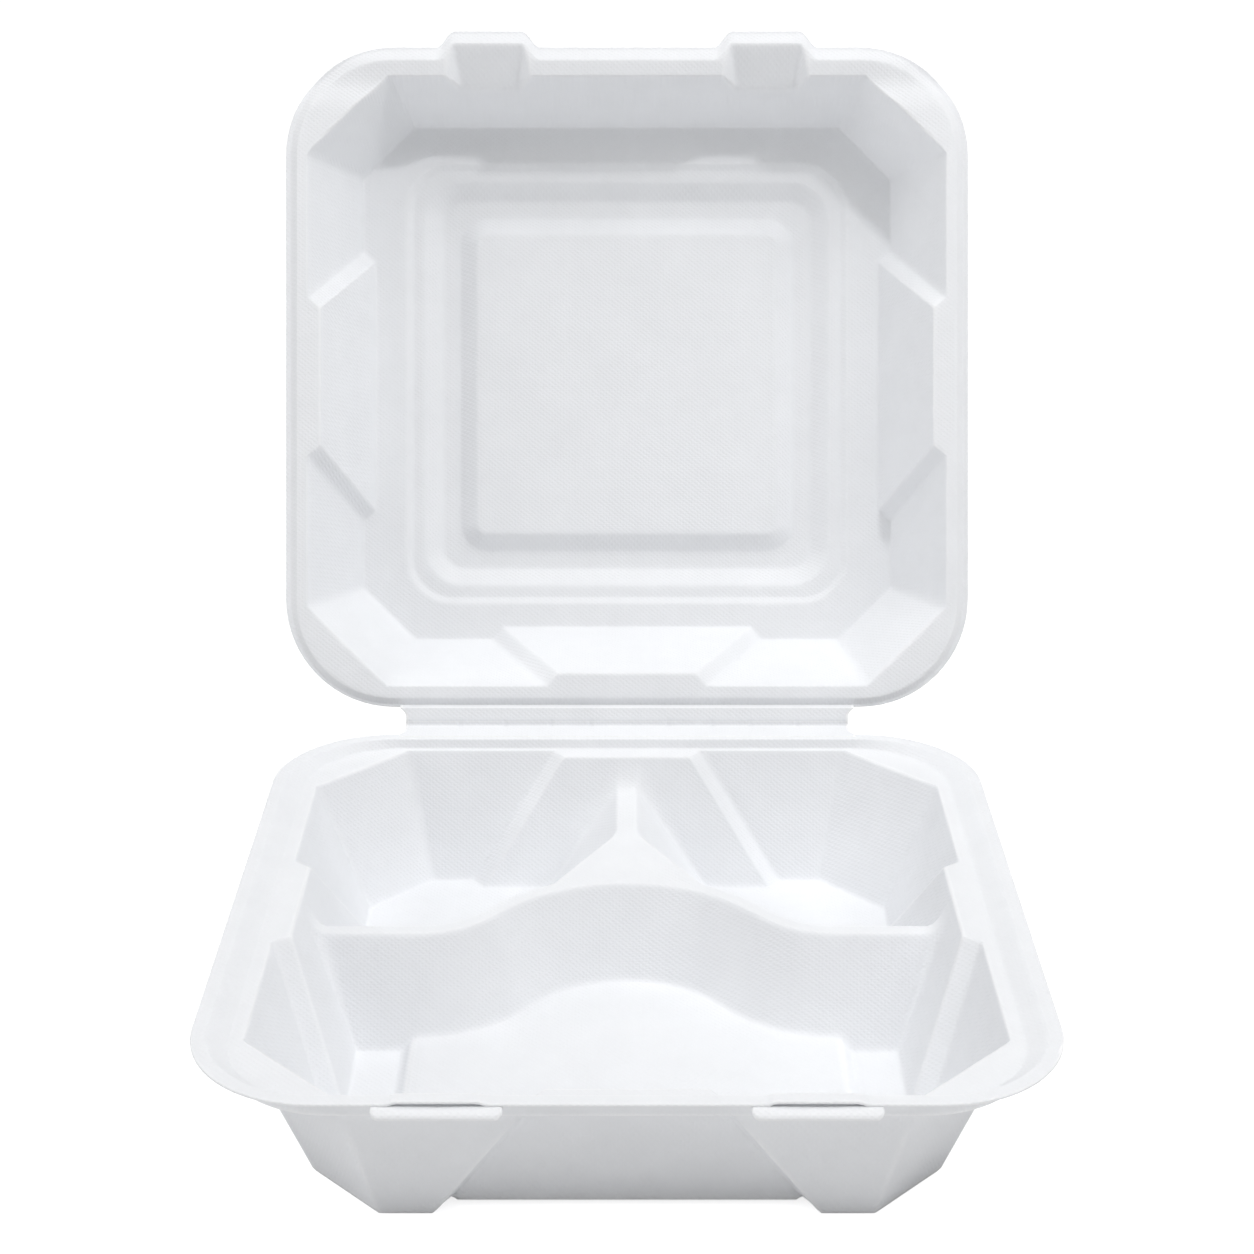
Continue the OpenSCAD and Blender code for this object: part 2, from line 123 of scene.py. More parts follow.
# One closed line of points around a sheet, anticlockwise from the right side: straight sides at hx,
# high and low, sunk by the panel depth between the flanks, joined at the corners by a cut (bulge 0)
# or an arc (bulge 1). The high side can be pushed out by a distance that depends on x.
def ringLine(plan, hx, low, high, cut, bulge, keys, sunk, middle, push=None):
    sidePlan, cornerPlan = plan
    points = []
    for q in range(4):
        upright = q % 2 == 0
        reach = (hx, high, hx, -low)[q]
        first = low + cut if upright else cut - hx
        last = high - cut if upright else hx - cut
        mid = middle if upright else 0.0
        half, flank = keys[q]
        room = keyRoom * min(last - mid, mid - first)
        fit = min(1.0, room / (half + flank))
        along = np.array([first, mid - (half + flank) * fit, mid - half * fit,
                          mid + half * fit, mid + (half + flank) * fit, last])
        inset = np.array([0, 0, sunk[q], sunk[q], 0, 0])
        if q in (1, 2):  # these two sides run backwards
            along = along[::-1]
        run = np.interp(sidePlan[q], np.arange(6), along)
        out = reach - np.interp(sidePlan[q], np.arange(6), inset)
        if push is not None and q == 1:
            out = out + push(run)
        side = ((out, run), (run, out), (-out, run), (run, -out))[q]
        points.append(np.stack(side, axis=1))
        cx = (hx - cut) * (1 if q in (0, 3) else -1)
        cy = high - cut if q < 2 else low + cut
        angle = 0.5 * np.pi * (q + cornerPlan)
        arc = np.stack((cx + cut * np.cos(angle), cy + cut * np.sin(angle)), axis=1)
        turns = [0.5 * math.pi * k for k in (q, q + 1)]
        start, stop = [np.array([cx + cut * math.cos(a), cy + cut * math.sin(a)]) for a in turns]
        chord = start + cornerPlan[:, None] * (stop - start)
        points.append(chord + bulge * (arc - chord))
    return np.concatenate(points)


# A ring line with straight corner cuts, grown outwards all round; its cuts widen by a share of the growth.
def cutLine(plan, hx, low, high, cut, grow, keys, sunk, middle):
    wide = cut + cutGrow * grow
    return ringLine(plan, hx + grow, low - grow, high + grow, wide, 0.0, keys, sunk, middle)


# Rows of a sheet from line to line: straight steps at the given shares between each pair of neighbours.
def rowsBetween(lines, shares):
    rows = []
    for a, b, steps in zip(lines[:-1], lines[1:], shares):
        rows.append(a[None] + np.asarray(steps)[:, None, None] * (b - a)[None])
    return np.concatenate(rows)


# Quads between the rows of a grid of point numbers that closes round a ring.
def ringQuads(index):
    after = np.roll(index, -1, axis=1)
    return np.stack((index[:-1], index[1:], after[1:], after[:-1]), axis=-1).reshape(-1, 4)


# Quads of a grid of point numbers that doesn't close, anticlockwise from its first corner.
def gridQuads(index):
    corners = (index[:-1, :-1], index[:-1, 1:], index[1:, 1:], index[1:, :-1])
    return np.stack(corners, axis=-1).reshape(-1, 4)


# Closed mesh from a grid of rows round a ring: quads between rows, a fan at the first and last row's pole.
def ringMesh(name, grid, firstPole, lastPole):
    rows, columns = grid.shape[:2]
    verts = np.concatenate([grid.reshape(-1, 3), [firstPole, lastPole]]) * mm
    index = np.arange(rows * columns).reshape(rows, columns)
    after = np.roll(index, -1, axis=1)
    pole = rows * columns
    firstFan = np.stack((np.full(columns, pole), index[0], after[0]), axis=-1)
    lastFan = np.stack((np.full(columns, pole + 1), after[-1], index[-1]), axis=-1)
    return newPiece(name, verts, [*ringQuads(index).tolist(), *firstFan.tolist(), *lastFan.tolist()])


# Plan of the area inside a ring as a grid with four sides that start in the middles of the corner cuts:
# straight blends from side to side both ways, less the blend of the four corners.
def fillPlan(ring, nx, ny, half):
    line = np.roll(ring, half, axis=0)
    right = line[:ny + 1]
    high = line[ny:ny + nx + 1][::-1]
    left = line[ny + nx:2 * ny + nx + 1][::-1]
    low = np.concatenate((line[2 * ny + nx:], line[:1]))
    u = ((low[:, 0] - low[0, 0]) / (low[-1, 0] - low[0, 0]))[None, :, None]
    v = ((right[:, 1] - right[0, 1]) / (right[-1, 1] - right[0, 1]))[:, None, None]
    across = (1 - u) * left[:, None] + u * right[:, None]
    along = (1 - v) * low[None] + v * high[None]
    corners = (1 - v) * ((1 - u) * low[0] + u * low[-1]) + v * ((1 - u) * high[0] + u * high[-1])
    return across + along - corners


# Point numbers of that grid: its border is the ring's own points, its inside is numbered on from start.
def fillIndex(edge, nx, ny, half, start):
    line = np.roll(edge, half)
    index = np.empty((ny + 1, nx + 1), dtype=int)
    index[1:-1, 1:-1] = start + np.arange((ny - 1) * (nx - 1)).reshape(ny - 1, nx - 1)
    index[:ny, nx] = line[:ny]
    index[ny, nx:0:-1] = line[ny:ny + nx]
    index[ny:0:-1, 0] = line[ny + nx:2 * ny + nx]
    index[0, :nx] = line[2 * ny + nx:]
    return index


# Closed mesh from rows round a ring with both open ends filled by grids.
def filledMesh(name, grid, topFill, underFill, half):
    rows, columns = grid.shape[:2]
    ny, nx = topFill.shape[0] - 1, topFill.shape[1] - 1
    fills = [fill[1:-1, 1:-1].reshape(-1, 3) for fill in (topFill, underFill)]
    verts = np.concatenate([grid.reshape(-1, 3), *fills]) * mm
    index = np.arange(rows * columns).reshape(rows, columns)
    topStart = rows * columns
    underStart = topStart + (nx - 1) * (ny - 1)
    top = gridQuads(fillIndex(index[0], nx, ny, half, topStart))
    under = gridQuads(fillIndex(index[-1], nx, ny, half, underStart))[:, ::-1]
    return newPiece(name, verts, np.concatenate((ringQuads(index), top, under)).tolist())


# Adds an object to the scene, at the origin.
def addObject(name, data):
    made = bpy.data.objects.new(name, data)
    bpy.context.scene.collection.objects.link(made)
    return made


# Puts points and faces into a smooth-shaded object at the origin.
def newPiece(name, verts, faces):
    mesh = bpy.data.meshes.new(name)
    mesh.from_pydata(verts.tolist(), [], faces)
    mesh.polygons.foreach_set("use_smooth", np.ones(len(mesh.polygons), dtype=bool))
    mesh.update()
    print("piece", name, len(mesh.vertices), "points")
    return addObject(name, mesh)


# Underside of a sheet: its height less the sheet's thickness measured straight down,
# which is the thickness times the length of the slope vector (1, dz/dx, dz/dy).
def underside(height, x, y, sheet, step=0.25):
    dx = (height(x + step, y) - height(x - step, y)) / (2 * step)
    dy = (height(x, y + step) - height(x, y - step)) / (2 * step)
    return height(x, y) - sheet * np.sqrt(1 + np.minimum(dx * dx + dy * dy, steepest ** 2))


# Drop of a rounded sheet edge at distance inside the outline: a quarter circle of half the sheet.
def edgeDrop(inside, sheet):
    r = sheet / 2
    d = np.clip(inside, 0, r)
    return r - np.sqrt(np.maximum(r * r - (r - d) ** 2, 0))


# Lid coordinates (x, distance from the fold, height above its inner plane) turned up about the fold.
def standLid(points):
    c, s = math.cos(lidTurn), math.sin(lidTurn)
    t = points[..., 1]
    h = points[..., 2] - lid["shutGap"] / 2
    return np.stack((points[..., 0], foldY + t * c - h * s, foldZ + t * s + h * c), axis=-1)


tray = {
    "halfWidth": 114.5, "halfLength": 111.0, "rimTop": 45.0, "sheet": 1.0,
    "rimCorner": 36.0, "flange": 4.2, "ledgeDrop": 3.0, "ledgeSide": 4.0, "ledgeEnd": 1.6, "ledgeTight": 2.0,
    "sideRim": 13.8, "endRim": 6.8, "sideLean": 16.3, "backLean": 14.9, "frontLean": 11.2,
    "mouthCut": 27.6, "floorCut": 19.5, "collar": 6.2,
    "panelInset": 5.0, "panelTop": 42.0, "panelFloor": 95.0, "panelFlank": 3.6,
    "floorFillet": 1.8, "cornerFillet": 1.0, "mouthFillet": 0.9, "flankFillet": 0.8, "rimFillet": 0.45,
    "bandFillet": 0.2, "underFillet": 0.25,
    "nibX": 47.5, "nibHalf": 11.6, "nibEnd": 2.6, "nibHeight": 0.8, "nibBehind": 0.4, "nibAhead": 0.6,
}
divider = {
    "crest": 32.5, "crestHalf": 2.3, "lean": 24.0, "offset": 0.6, "bowDepth": 31.0, "bowSpan": 62.0,
    "frontShare": 0.648, "stemHalf": 3.3, "stemLean": 36.0,
    "flareHalf": 26.0, "flareLength": 40.0, "flareSetback": 8.4, "flareLean": 30.0,
    "frontFillet": 1.8, "backFillet": 0.9, "joinFillet": 2.6, "footFillet": 1.2, "wallFillet": 9.0,
    "joinFrom": 6.0, "joinBelow": 4.0,  # where on the wall its joining fillet grows
    "gridReach": 20.0, "gridEnd": 80.0, "holdFull": 1.2, "holdNone": 2.2,
}
platform = {
    "lift": 4.4, "frontLift": 1.4, "half": 63.0, "slope": 2.5,
    "footX": 48.0, "footEnd": 51.5, "footDeep": 8.0,
}

mouthX = tray["halfWidth"] - tray["sideRim"]
mouthY = tray["halfLength"] - tray["endRim"]
mouthZ = tray["rimTop"] - tray["ledgeDrop"]
floorX = mouthX - tray["sideLean"]
floorBack = mouthY - tray["backLean"]
floorFront = mouthY - tray["frontLean"]
floorZ = tray["sheet"]
wallRise = mouthZ - floorZ


# Sizes of the bow: turning angle of each arc, front and back radius, heights of the two centres.
def bowSizes():
    turn = 2 * math.atan(divider["bowDepth"] / divider["bowSpan"])
    radii = divider["bowSpan"] / math.sin(turn)
    front = divider["frontShare"] * radii
    back = radii - front
    return turn, front, back, divider["bowDepth"] - front - divider["offset"], back - divider["offset"]


# Signed distance to the divider's middle line, positive behind it: an arc about a middle centre in front,
# two arcs about side centres behind, straight ends beyond.
def bowDistance(x, y):
    u = np.abs(x)
    turn, front, back, centreY, sideY = bowSizes()
    middleArc = np.hypot(u, y - centreY) - front
    sideArc = back - np.hypot(u - divider["bowSpan"], y - sideY)
    inMiddle = u * math.cos(turn) < (y - centreY) * math.sin(turn)
    near = np.where(inMiddle, middleArc, sideArc)
    return np.where(u > divider["bowSpan"], y + divider["offset"], near)


# The line at distance d behind the divider's middle line, as y over x: the same arcs with changed radii.
def bowLine(x, d):
    u = np.abs(x)
    turn, front, back, centreY, sideY = bowSizes()
    middleArc = centreY + np.sqrt(np.maximum((front + d) ** 2 - u * u, 0))
    sideArc = sideY - np.sqrt(np.maximum((back - d) ** 2 - (u - divider["bowSpan"]) ** 2, 0))
    near = np.where(u < (front + d) * math.sin(turn), middleArc, sideArc)
    return np.where(u > divider["bowSpan"], d - divider["offset"], near)


# Bends the rows of a plan along the divider: rows within the reach become lines beside it,
# rows farther off are spread evenly from there to the end, where they stay as they were.
def bendRows(plan):
    x, y = plan[..., 0], plan[..., 1]
    reach, end = divider["gridReach"], divider["gridEnd"]
    line = 0.5 * (y[:, :1] + y[:, -1:])
    hold = ease(np.abs(line), divider["holdNone"] * reach, divider["holdFull"] * reach)
    y = y + hold * (line - y)
    d = y + divider["offset"]
    near = bowLine(x, np.clip(d, -reach, reach))
    front = np.clip((d + reach) / (divider["offset"] + reach - end), 0, None)
    back = np.clip((d - reach) / (end + divider["offset"] - reach), 0, None)
    inFront = near + front * (-end - near)
    behind = near + back * (end - near)
    bent = np.where(d < -reach, inFront, np.where(d > reach, behind, near))
    return np.stack((x, np.where(np.abs(y) > end, y, bent)), axis=-1)


# Height of the divider: the lower of its front face, its back faces (bow, flare and stem joined softly)
# and its crest. Each face falls from the crest by distance over the tangent of its lean.
def dividerHeight(x, y, d):
    u = np.abs(x)
    crest = divider["crest"]
    steep = 1 / math.tan(math.radians(divider["lean"]))
    frontFace = crest + (d + divider["crestHalf"]) * steep
    bowFace = crest - (d - divider["crestHalf"]) * steep
    stemFace = crest - (u - divider["stemHalf"]) / math.tan(math.radians(divider["stemLean"]))
    run = divider["flareHalf"] - divider["stemHalf"]
    slant = math.hypot(run, divider["flareLength"])
    nearY = divider["bowDepth"] - divider["offset"] - divider["flareSetback"]
    off = ((u - divider["flareHalf"]) * divider["flareLength"] + (y - nearY) * run) / slant
    flareFace = crest - off / math.tan(math.radians(divider["flareLean"]))
    backFace = softMax(softMax(bowFace, flareFace, divider["joinFillet"]), stemFace, divider["joinFillet"])
    return softMin(softMin(frontFace, crest, divider["frontFillet"]), backFace, divider["backFillet"])


# Height of a sunk wall panel: the lower of its leaning face and its slanted flank.
def panelHeight(out, along, floorOut, lean, part, rise, base, top, deep):
    k = part["panelFlank"] / part["panelInset"]
    foot = floorOut - part["panelInset"]
    face = base + (out - foot) * rise / lean
    flank = base + rise * (deep / 2 + k * (out - foot) - along) / ((deep - top) / 2 + k * lean)
    return softMin(face, flank, part["flankFillet"])


# Floor of the tray: flat at the back; in front lifted evenly more from the front wall to the divider,
# sloped off at the sides, and not lifted at the two feet.
def floorHeight(u, y, d):
    share = np.clip(1 + y / floorFront, 0, 1)
    lift = platform["frontLift"] + (platform["lift"] - platform["frontLift"]) * share
    lift = lift * ramp((platform["half"] + platform["slope"] - u) / platform["slope"])
    foot = ease(-y, floorFront - platform["footDeep"], floorFront - platform["footDeep"] / 2)
    foot = foot * ease(u, platform["footX"], platform["footEnd"])
    return floorZ + np.where(d < 0, lift * (1 - foot), 0.0)


# Walls of the tray: the highest of the leaning sides and ends, the corner cuts and the sunk panels.
def wallHeight(u, v, y):
    side = floorZ + (u - floorX) * wallRise / tray["sideLean"]
    floorY = np.where(y < 0, floorFront, floorBack)
    endLean = np.where(y < 0, tray["frontLean"], tray["backLean"])
    end = floorZ + (v - floorY) * wallRise / endLean
    deepCut = (floorX + floorY - tray["floorCut"]) / math.sqrt(2)
    wideCut = (mouthX + mouthY - tray["mouthCut"]) / math.sqrt(2)
    cut = floorZ + ((u + v) / math.sqrt(2) - deepCut) * wallRise / (wideCut - deepCut)
    sizes = (tray, wallRise, floorZ, tray["panelTop"], tray["panelFloor"])
    sidePanel = panelHeight(u, v, floorX, tray["sideLean"], *sizes)
    endPanel = panelHeight(v, u, floorY, endLean, *sizes)
    corner = tray["cornerFillet"]
    walls = softMax(softMax(side, end, corner), cut, corner)
    return softMax(softMax(walls, sidePanel, corner), endPanel, corner)


# The two nibs on the front flange: a window along x times a window across the flange, both eased.
def nibHeight(u, y):
    off = np.abs(u - tray["nibX"])
    along = ease(off, tray["nibHalf"] + tray["nibEnd"] / 2, tray["nibHalf"] - tray["nibEnd"] / 2)
    back = tray["flange"] - tray["halfLength"]
    across = ease(y, back + tray["nibBehind"], back - tray["nibAhead"])
    return tray["nibHeight"] * (along * across)


# Inner face of the tray: the highest of floor, walls and divider, cut off at the ledge, plus the step up
# to the flange and the nibs.
def trayHeight(x, y):
    u = np.abs(x)
    d = bowDistance(x, y)
    walls = wallHeight(u, np.abs(y), y)
    inside = softMax(walls, floorHeight(u, y, d), tray["floorFillet"])
    grown = ease(walls, divider["joinFrom"], divider["crest"] - divider["joinBelow"])
    join = divider["footFillet"] + (divider["wallFillet"] - divider["footFillet"]) * grown
    inside = softMax(inside, dividerHeight(x, y, d), join)
    inside = softMin(inside, mouthZ, tray["mouthFillet"])
    up = mouthZ + tray["ledgeDrop"] * betweenRects(x, y, ledgeRect(0), flangeRect(0))
    rim = softMin(softMax(up, mouthZ, tray["rimFillet"]), tray["rimTop"], tray["rimFillet"])
    return inside + rim - mouthZ + nibHeight(u, y)


# Rounded rectangle at the outer edge of the ledge: half width, front, back and corner radius.
def ledgeRect(grow):
    hx = mouthX + tray["ledgeSide"] + grow
    hy = mouthY + tray["ledgeEnd"] + grow
    return hx, -hy, hy, tray["rimCorner"] - tray["flange"] - tray["ledgeTight"] + grow


# The same at the inner edge of the flange.
def flangeRect(grow):
    hx = tray["halfWidth"] - tray["flange"] + grow
    hy = tray["halfLength"] - tray["flange"] + grow
    return hx, -hy, hy, tray["rimCorner"] - tray["flange"] + grow


# Underside of the tray: the sheet's own underside, lowered to the band under the flange,
# never below the table.
def trayUnder(x, y):
    own = underside(trayHeight, x, y, tray["sheet"])
    low = tray["rimTop"] - tray["collar"]
    grow = tray["sheet"]
    tall = tray["rimTop"] - 0.5 * grow - low
    band = low + tall * betweenRects(x, y, ledgeRect(grow), flangeRect(grow))
    band = softMax(band, low, tray["bandFillet"])
    return np.maximum(softMin(own, band, tray["underFillet"]), 0.0)


trayGrid = {
    # distances from the middle at which the spacing of columns changes, and the columns between them
    "sideStops": (0, 1.2, 3.6, 5, 14, 18, 22, 47.5), "sideCounts": (2, 8, 3, 7, 6, 4, 12),
    "endStops": (0, 2.4, 4.2, 8, 28, 34, 47.5), "endCounts": (3, 6, 6, 27, 6, 15),
    "corner": 16, "nibMargin": 3.0, "nibRun": 8.0, "underGrow": 0.66, "footIn": 1.4,
}


# The tray sheet: rows of points from the foot of the walls out over the rim and back underneath,
# with the floor and divider filled in on both faces.
def makeTray():
    sideSteps = mirrored(trayGrid["sideStops"], trayGrid["sideCounts"])
    endSteps = mirrored(trayGrid["endStops"], trayGrid["endCounts"])
    corner = trayGrid["corner"]
    plan = columnPlan([(12, 5, sideSteps, 5, 12), (12, 5, endSteps, 5, 12)] * 2, corner)
    topKeys = [(tray["panelTop"] / 2, tray["panelFlank"])] * 4
    floorKeys = [(tray["panelFloor"] / 2, tray["panelFlank"])] * 4
    nibKeys = (tray["nibX"] + tray["nibHalf"] + trayGrid["nibMargin"], trayGrid["nibRun"])
    inset = (tray["panelInset"],) * 4

    def rect(sizes, frontKeys):
        return ringLine(plan, *sizes, 1.0, [*topKeys[:3], frontKeys], (0, 0, 0, 0), 0.0)

    def outline(inside):
        hx = tray["halfWidth"] - inside
        hy = tray["halfLength"] - inside
        return rect((hx, -hy, hy, tray["rimCorner"] - inside), nibKeys)  # close columns along both nibs

    def mouth(grow):
        return cutLine(plan, mouthX, -mouthY, mouthY, tray["mouthCut"], grow, topKeys, inset, 0.0)

    def foot(grow):
        return cutLine(plan, floorX, -floorFront, floorBack, tray["floorCut"], grow, floorKeys, inset, 0.0)

    def lines(edges, rimGrow, wallGrow):
        rims = [rect(flangeRect(rimGrow), nibKeys), rect(ledgeRect(rimGrow), topKeys[3])]
        walls = [mouth(wallGrow), foot(wallGrow), foot(-trayGrid["footIn"])]
        return [*[outline(e) for e in edges], *rims, *walls]

    def shaped(points, height, sign):
        x, y = points[..., 0], points[..., 1]
        end = tray["halfLength"]
        inside = -roundRect(x, y, tray["halfWidth"], -end, end, tray["rimCorner"])
        return np.dstack((points, height(x, y) - sign * edgeDrop(inside, tray["sheet"])))

    edgeIn = tray["sheet"] / 2 * (1 - np.cos(np.linspace(0, 0.5 * np.pi, 5)))
    flangeSteps = [0, 0.2, 0.4, 0.6, 0.75, 0.87, 0.95]
    slopeSteps = [0, 0.07, 0.16, 0.3, 0.5, 0.7, 0.84, 0.93]
    ledgeSteps = [0, 0.15, 0.4, 0.65, 0.85, 0.94]
    footSteps = [0, 0.2, 0.45, 0.7, 1.0]
    topShares = [[0.0]] * 4 + [flangeSteps, slopeSteps, ledgeSteps, wallSteps, footSteps]
    top = rowsBetween(lines(edgeIn, 0, 0), topShares)[::-1]
    underRim = [[0, 0.4, 0.8], slopeSteps[::2], [0, 0.3, 0.7, 0.9]]
    underShares = [[0.0]] * 3 + [*underRim, wallSteps[::2], footSteps]
    under = rowsBetween(lines(edgeIn[1:], tray["sheet"], trayGrid["underGrow"]), underShares)
    grid = np.concatenate([shaped(top, trayHeight, 1), shaped(under, trayUnder, -1)])
    ny = len(plan[0][0]) + corner
    nx = len(plan[0][1]) + corner
    fills = [bendRows(fillPlan(ring, nx, ny, corner // 2)) for ring in (top[0], under[-1])]
    topFill = shaped(fills[0], trayHeight, 1)
    underFill = shaped(fills[1], trayUnder, -1)
    return filledMesh("tray_shell", grid, topFill, underFill, corner // 2)


lid = {
    "halfWidth": 116.7, "strip": 5.8, "front": 231.4, "corner": 37.0, "sheet": 0.7, "shutGap": 0.3,
    "depth": 32.0, "lip": 2.0, "beadHeight": 2.0, "beadSlope": 2.1, "beadFront": 3.8, "landTilt": 0.27,
    "sideRim": 7.8, "frontRim": 9.4, "foldRim": 7.3, "sideLean": 15.3, "frontLean": 11.6, "foldLean": 15.6,
    "mouthCut": 27.0, "deepCut": 18.5,
    "panelInset": 4.4, "panelFlank": 3.6, "panelTop": 47.0, "panelDeep": 88.0,
    "cornerFillet": 0.9, "deepFillet": 1.0, "mouthFillet": 0.8, "flankFillet": 0.7, "beadFillet": 0.3,
}
roof = {
    "one": 78.0, "slopeOne": 2.2, "two": 71.7, "three": 59.4, "slope": 6.2, "bend": 0.14,
    "stepOne": 1.3, "stepTwo": 4.3, "stepThree": 3.8,
    "cornerOne": 16.0, "cornerTwo": 13.8, "cornerThree": 9.8, "tightTwo": 4.0, "tightThree": 5.0,
}
tab = {
    "x": 47.5, "half": 14.6, "bend": 6.2, "reach": 5.5, "root": 214.0, "rootEnd": 223.0,
    "pocketRun": 15.0, "pocketSlope": 0.68, "pocketHalf": 11.9, "pocketTaper": 0.17,
    "flankSlope": 1.3, "pocketFillet": 0.5,
}

lidMouthX = lid["halfWidth"] - lid["sideRim"]
lidMouthFront = lid["front"] - lid["frontRim"]
lidMouthFold = lid["strip"] + lid["foldRim"]
lidDeepX = lidMouthX - lid["sideLean"]
lidDeepFront = lidMouthFront - lid["frontLean"]
lidDeepFold = lidMouthFold + lid["foldLean"]
lidMiddle = (lid["strip"] + lid["front"]) / 2
roofMiddle = (lidDeepFront + lidDeepFold) / 2


# Rounded rectangle at the foot (step 0) or the top (step 1) of the bead's outer slope.
def beadRect(step):
    slope = lid["beadSlope"] * step
    end = lid["lip"] / 2
    return (lid["halfWidth"] - lid["lip"] - slope, lid["strip"] + end + slope,
            lid["front"] - end - lid["beadFront"] * step, lid["corner"] - lid["lip"] - slope)


# Height of the roof rings below the shoulder: each step is a ramp on the distance inside a rounded square.
def roofHeight(x, t):
    def step(size, corner, slope):
        inside = -roundRect(x, t, size, roofMiddle - size, roofMiddle + size, corner)
        return ramp(inside / slope, roof["bend"])

    one = roof["stepOne"] * step(roof["one"], roof["cornerOne"], roof["slopeOne"])
    two = roof["stepTwo"] * step(roof["two"], roof["cornerTwo"], roof["slope"])
    three = roof["stepThree"] * step(roof["three"], roof["cornerThree"], roof["slope"])
    return three - one - two - lid["depth"]


# How far the rim is pushed out at x to make the two tabs: the reach times a window with S-shaped ends.
def tabPush(x):
    off = np.abs(np.abs(x) - tab["x"])
    return tab["reach"] * ease(off, tab["half"] + tab["bend"] / 2, tab["half"] - tab["bend"] / 2)


# Distance from the fold with that push taken off again, near the rim only.
def pulledBack(x, t):
    return t - tabPush(x) * ease(t, tab["root"], tab["rootEnd"])


# The two pockets behind the tabs: a floor that falls evenly from the bead inwards, with flanks that rise
# beside it and draw in along the run; past the run it stands far above the wall.
def pocketHeight(u, t):
    run = beadRect(1)[2] + tab["reach"] - t
    down = np.minimum(run, tab["pocketRun"])
    out = np.abs(u - tab["x"]) - tab["pocketHalf"] + tab["pocketTaper"] * down
    sink = np.maximum(out, 0) * tab["flankSlope"] - down * tab["pocketSlope"]
    return sink + np.maximum(run - tab["pocketRun"], 0) * lid["depth"]


# Inner face of the lid lying flat: the highest of roof, leaning walls, corner cuts and panels, cut off
# at the rim's land, less the slope of the bead outside it and the two pockets.
def lidHeight(x, t):
    u = np.abs(x)
    deep = lid["depth"]
    side = (u - lidDeepX) * deep / lid["sideLean"] - deep
    front = (t - lidDeepFront) * deep / lid["frontLean"] - deep
    back = (lidDeepFold - t) * deep / lid["foldLean"] - deep

    def cutWall(across, wide, low):
        return (across - low) * deep / (wide - low) - deep

    wideFront = lidMouthX + lidMouthFront - lid["mouthCut"]
    cutFront = cutWall(u + t, wideFront, lidDeepX + lidDeepFront - lid["deepCut"])
    wideBack = lidMouthX - lidMouthFold - lid["mouthCut"]
    cutBack = cutWall(u - t, wideBack, lidDeepX - lidDeepFold - lid["deepCut"])
    sizes = (lid, deep, -deep, lid["panelTop"], lid["panelDeep"])
    sidePanel = panelHeight(u, np.abs(t - lidMiddle), lidDeepX, lid["sideLean"], *sizes)
    backPanel = panelHeight(-t, u, -lidDeepFold, lid["foldLean"], *sizes)
    k = lid["cornerFillet"]
    walls = softMax(softMax(softMax(softMax(side, front, k), back, k), cutFront, k), cutBack, k)
    walls = softMax(softMax(walls, sidePanel, k), backPanel, k)
    inside = softMax(walls, roofHeight(x, t), lid["deepFillet"])
    landRun = np.clip(beadRect(1)[2] - t, 0, lid["frontRim"])
    landFall = lid["landTilt"] * landRun * ease(t, lidDeepFront, lidMouthFront)
    inside = softMin(inside, -landFall, lid["mouthFillet"])
    fall = betweenRects(x, pulledBack(x, t), beadRect(1), beadRect(0)) * lid["beadHeight"]
    fall = softMin(softMax(fall, 0.0, lid["beadFillet"]), lid["beadHeight"], lid["beadFillet"])
    return softMin(inside - fall, pocketHeight(u, t), tab["pocketFillet"])


# Outer face of the lid: one sheet below the inner face.
def lidUnder(x, t):
    return underside(lidHeight, x, t, lid["sheet"])


lidGrid = {"tabSpan": 37.0, "underGrow": 0.5, "corner": 16}


